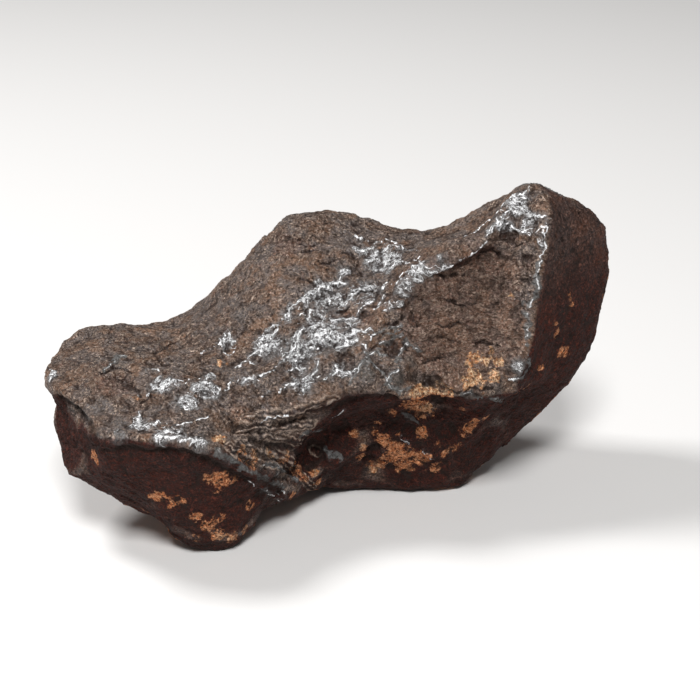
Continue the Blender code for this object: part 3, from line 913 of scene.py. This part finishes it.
def rustedIron(looks):
    material = bpy.data.materials.new("rusted iron rind")
    material.use_nodes = True
    tree = material.node_tree
    shader = tree.nodes["Principled BSDF"]

    def layer(name):
        return addNode(tree, "ShaderNodeAttribute", attribute_name=name).outputs["Fac"]

    place = vectorLayer(tree, "skinPlace")
    rough = bentPlace(tree, place, finePatterns["bend"], finePatterns["bendReach"])
    cloud = {name: cloudNoise(tree, rough if name in bentClouds else place, *clouds[name]) for name in clouds}
    mat = filaments(tree, rough, finePatterns["mat"], finePatterns["matWidth"])
    stripe = streaks(tree, rough, layer, finePatterns["stripe"])
    crust = layer("crust")
    ochre = layer("ochre")
    inShade = rescale(tree, layer("shade"), 0.1, 0.9)
    combedHere = maths(tree, "ADD", layer("slantStreak"), layer("steepStreak"))
    combedHere = maths(tree, "ADD", layer("levelStreak"), combedHere)

    def shown(name):
        pattern, start, full, share = shows[name]
        return rescale(tree, cloud[pattern], start, full, 0.0, share)

    def line(name):
        stroke, start, full, scale, reach = paintedLines[name]
        return rescale(tree, waveringGap(tree, place, layer, stroke, scale, reach), start, full)

    def sideLine(name):
        stroke, offset, halfWidth, scale, reach = sideLines[name]
        away = maths(tree, "SUBTRACT", waveringGap(tree, place, layer, stroke, scale, reach), offset)
        return rescale(tree, maths(tree, "ABSOLUTE", away), halfWidth, 0.0)

    def lessCombed(name, value):
        left = rescale(tree, combedHere, 0.0, 1.0, 1.0, combedShares[name])
        return maths(tree, "MULTIPLY", value, left)

    def covering(name, value):
        return maths(tree, "MULTIPLY", value, covers[name])

    # Bare rind: its tones, its mat of fine threads, and its grit.
    colour = blend(tree, shown("warmRind"), looks["rind"], looks["warmRind"])
    colour = blend(tree, shown("coolRind"), colour, looks["coolRind"])
    colour = blend(tree, shown("redRind"), colour, looks["redRind"])
    colour = blend(tree, covering("scar", layer("scar")), colour, looks["redRind"])
    # The front face: its warmer tone, and painted light that brightens it.
    colour = blend(tree, covering("flushAndLight", layer("levelStreak")), colour, looks["flushAndLightRind"])
    matShare = maths(tree, "MULTIPLY", mat, rescale(tree, cloud["mottle"], 0.36, 0.6, 0.4, 1.0))
    colour = blend(tree, lessCombed("mat", matShare), colour, looks["thread"])
    colour = blend(tree, shown("paleGrit"), colour, looks["thread"])
    colour = blend(tree, shown("darkGrit"), colour, looks["pitAndShade"])
    # The lumps are given a darker tone.
    lumpDarkening = rescale(tree, layer("lump"), 0.1, 0.6, 0.0, covers["lump"])
    colour = blend(tree, lumpDarkening, colour, looks["darkLumpRind"])
    colour = blend(tree, rescale(tree, stripe, 0.4, 0.9, 0.0, covers["stripe"]), colour, looks["thread"])
    # Painted shade: lower faces and the right flank darkened and turned maroon.
    colour = blend(tree, inShade, colour, looks["shade"], "MULTIPLY")

    # Pale crust: a thin film, and on it the net and the crests, whose white is partly a painted highlight,
    # with painted glints along the grey crests and the flow lips.
    near = maths(tree, "MAXIMUM", rescale(tree, layer("crestGap"), 1.2, 0.2, 0.0, 0.5),
                 rescale(tree, layer("flowGap"), 1.0, 0.2, 0.0, 0.4))
    patchy = maths(tree, "MULTIPLY_ADD", maths(tree, "SUBTRACT", cloud["mottle"], 0.5), 1.6, crust)
    patchy = maths(tree, "MULTIPLY_ADD", near, 0.8, patchy)
    colour = blend(tree, rescale(tree, patchy, 0.2, 0.9, 0.0, covers["film"]), colour, looks["film"])
    colour = blend(tree, covering("steel", line("steel")), colour, looks["steel"])
    flowLines = maths(tree, "MAXIMUM", line("flow"), sideLine("flow"))
    colour = blend(tree, covering("flow", flowLines), colour, looks["thread"])
    pale = maths(tree, "MAXIMUM", mat, webPattern(tree, place, finePatterns["netWidth"]))
    pale = maths(tree, "MULTIPLY", pale, rescale(tree, patchy, 0.38, 1.15))
    beside = maths(tree, "MULTIPLY", sideLine("crest"), rescale(tree, crust, 0.2, 0.7, 0.15, 0.9))
    crests = maths(tree, "MAXIMUM", line("crest"), beside)
    crests = maths(tree, "MULTIPLY", crests, rescale(tree, cloud["mottle"], 0.38, 0.5, 0.75, 1.0))
    pale = maths(tree, "MAXIMUM", pale, crests)
    # Painted glints: highlight lines along the grey crests and the flow lips.
    for glint in ("steelGlint", "flowGlint"):
        pale = maths(tree, "MAXIMUM", pale, covering(glint, line(glint)))
    # Pale lines are dimmed under the painted shade.
    pale = maths(tree, "MULTIPLY", pale, rescale(tree, layer("shade"), 0.2, 0.9, 1.0, covers["shadedPale"]))
    colour = blend(tree, rescale(tree, pale, 0.2, 0.7), colour, looks["crust"])

    # Rust stains, frayed by two sizes of noise.
    stainHere = rescale(tree, ochre, 0.0, 0.4)
    stain = ochre
    for name, fraying in stainFraying.items():
        swing = maths(tree, "MULTIPLY", stainHere, fraying)
        stain = maths(tree, "MULTIPLY_ADD", maths(tree, "SUBTRACT", cloud[name], 0.5), swing, stain)
    rust = blend(tree, shown("tan"), looks["ochre"], looks["tan"])
    rust = blend(tree, mat, rust, looks["paleTan"])
    rust = blend(tree, shown("paleRust"), rust, looks["paleTan"])
    rust = blend(tree, shown("darkRust"), rust, looks["pitAndShade"])
    # Rust in the painted shade is darkened and reddened with it.
    rust = blend(tree, covering("shadedRust", inShade), rust, looks["shadedRust"], "MULTIPLY")
    colour = blend(tree, rescale(tree, stain, 0.15, 0.7), colour, rust)

    # Dark places: pits, and painted shade in the cracks, grooves, seams and hollows.
    colour = blend(tree, lessCombed("pits", shown("pits")), colour, looks["pitAndShade"])
    dark = maths(tree, "MAXIMUM", line("crack"), sideLine("flowGroove"))
    dark = maths(tree, "MAXIMUM", dark, rescale(tree, layer("seamGap"), 1.3, 0.3, 0.0, covers["seam"]))
    colour = blend(tree, covering("dark", dark), colour, looks["pitAndShade"])
    # Painted shade in the hollows.
    hollowShade = rescale(tree, layer("hollow"), -0.05, -0.8, 0.0, covers["hollow"])
    colour = blend(tree, lessCombed("hollow", hollowShade), colour, looks["pitAndShade"])
    tree.links.new(colour, shader.inputs["Base Color"])

    shader.inputs["Metallic"].default_value = looks["metallic"]
    shader.inputs["Specular IOR Level"].default_value = looks["specular"]
    roughness = maths(tree, "MAXIMUM", rescale(tree, cloud["speckle"], 0.3, 0.7, *looks["roughness"]),
                      rescale(tree, layer("shade"), 0.1, 0.9, 0.0, looks["shadeRoughness"]))
    tree.links.new(roughness, shader.inputs["Roughness"])

    bumps = {
        "mat": mat,
        "pale": pale,
        "flake": flakes(tree, rough, finePatterns["flake"]),
        "swell": cloud["swell"],
        "stripe": stripe,
    }
    height = 0.0
    for name, bump in bumps.items():
        height = maths(tree, "MULTIPLY_ADD", bump, bumpHeights[name], height)
    bump = addNode(tree, "ShaderNodeBump", {"Height": height, "Distance": mm, "Strength": 1.0})
    tree.links.new(bump.outputs[0], shader.inputs["Normal"])
    return material


# How hollows are found for their painted shade: rounds of evening out, and the depth that counts as full.
hollows = {"rounds": 12, "reach": 0.22 * mm}

applyRelief(stone, reliefSizes, reliefScales, rustedIron(ironLooks))
writeHollows(stone.data, "hollow", hollows["rounds"], hollows["reach"])
thinOut(stone, fineSkin["mostTriangles"])
print("relief raised:", len(stone.data.polygons), "faces")

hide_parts("meteorite")
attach(stone, "root")

# Pale floor and soft studio light.
studio = {
    "floorSide": 4.0,
    "floor": (0.66, 0.65, 0.64, 1),
    "floorRoughness": 0.9,
    "world": (0.95, 0.94, 0.93, 1),
    "worldPower": 0.16,
}


def makeFloor(wanted):
    shape = bmesh.new()
    bmesh.ops.create_grid(shape, x_segments=1, y_segments=1, size=wanted["floorSide"] / 2)
    mesh = bpy.data.meshes.new("floor")
    shape.to_mesh(mesh)
    shape.free()
    floor = bpy.data.objects.new("floor", mesh)
    bpy.context.scene.collection.objects.link(floor)
    paint = bpy.data.materials.new("pale floor")
    paint.use_nodes = True
    shader = paint.node_tree.nodes["Principled BSDF"]
    shader.inputs["Base Color"].default_value = wanted["floor"]
    shader.inputs["Roughness"].default_value = wanted["floorRoughness"]
    mesh.materials.append(paint)


softLights = {
    "key": {"from": (-0.45, 0.15, 0.75), "size": 0.22, "power": 6},
    "front": {"from": (0.0, -0.62, 0.95), "size": 0.3, "power": 13},
}
lightAim = (0, 0, 0.03)


def makeLight(name, wanted):
    lamp = bpy.data.lights.new(name, "AREA")
    lamp.size = wanted["size"]
    lamp.energy = wanted["power"]
    light = bpy.data.objects.new(name, lamp)
    bpy.context.scene.collection.objects.link(light)
    light.location = wanted["from"]
    light.rotation_euler = (Vector(lightAim) - light.location).to_track_quat("-Z", "Y").to_euler()


makeFloor(studio)
for lightName in softLights:
    makeLight(lightName, softLights[lightName])
sky = bpy.data.worlds.new("pale room")
bpy.context.scene.world = sky
sky.use_nodes = True
sky.node_tree.nodes["Background"].inputs["Color"].default_value = studio["world"]
sky.node_tree.nodes["Background"].inputs["Strength"].default_value = studio["worldPower"]
bpy.context.scene.view_settings.view_transform = "Standard"
print("studio set")
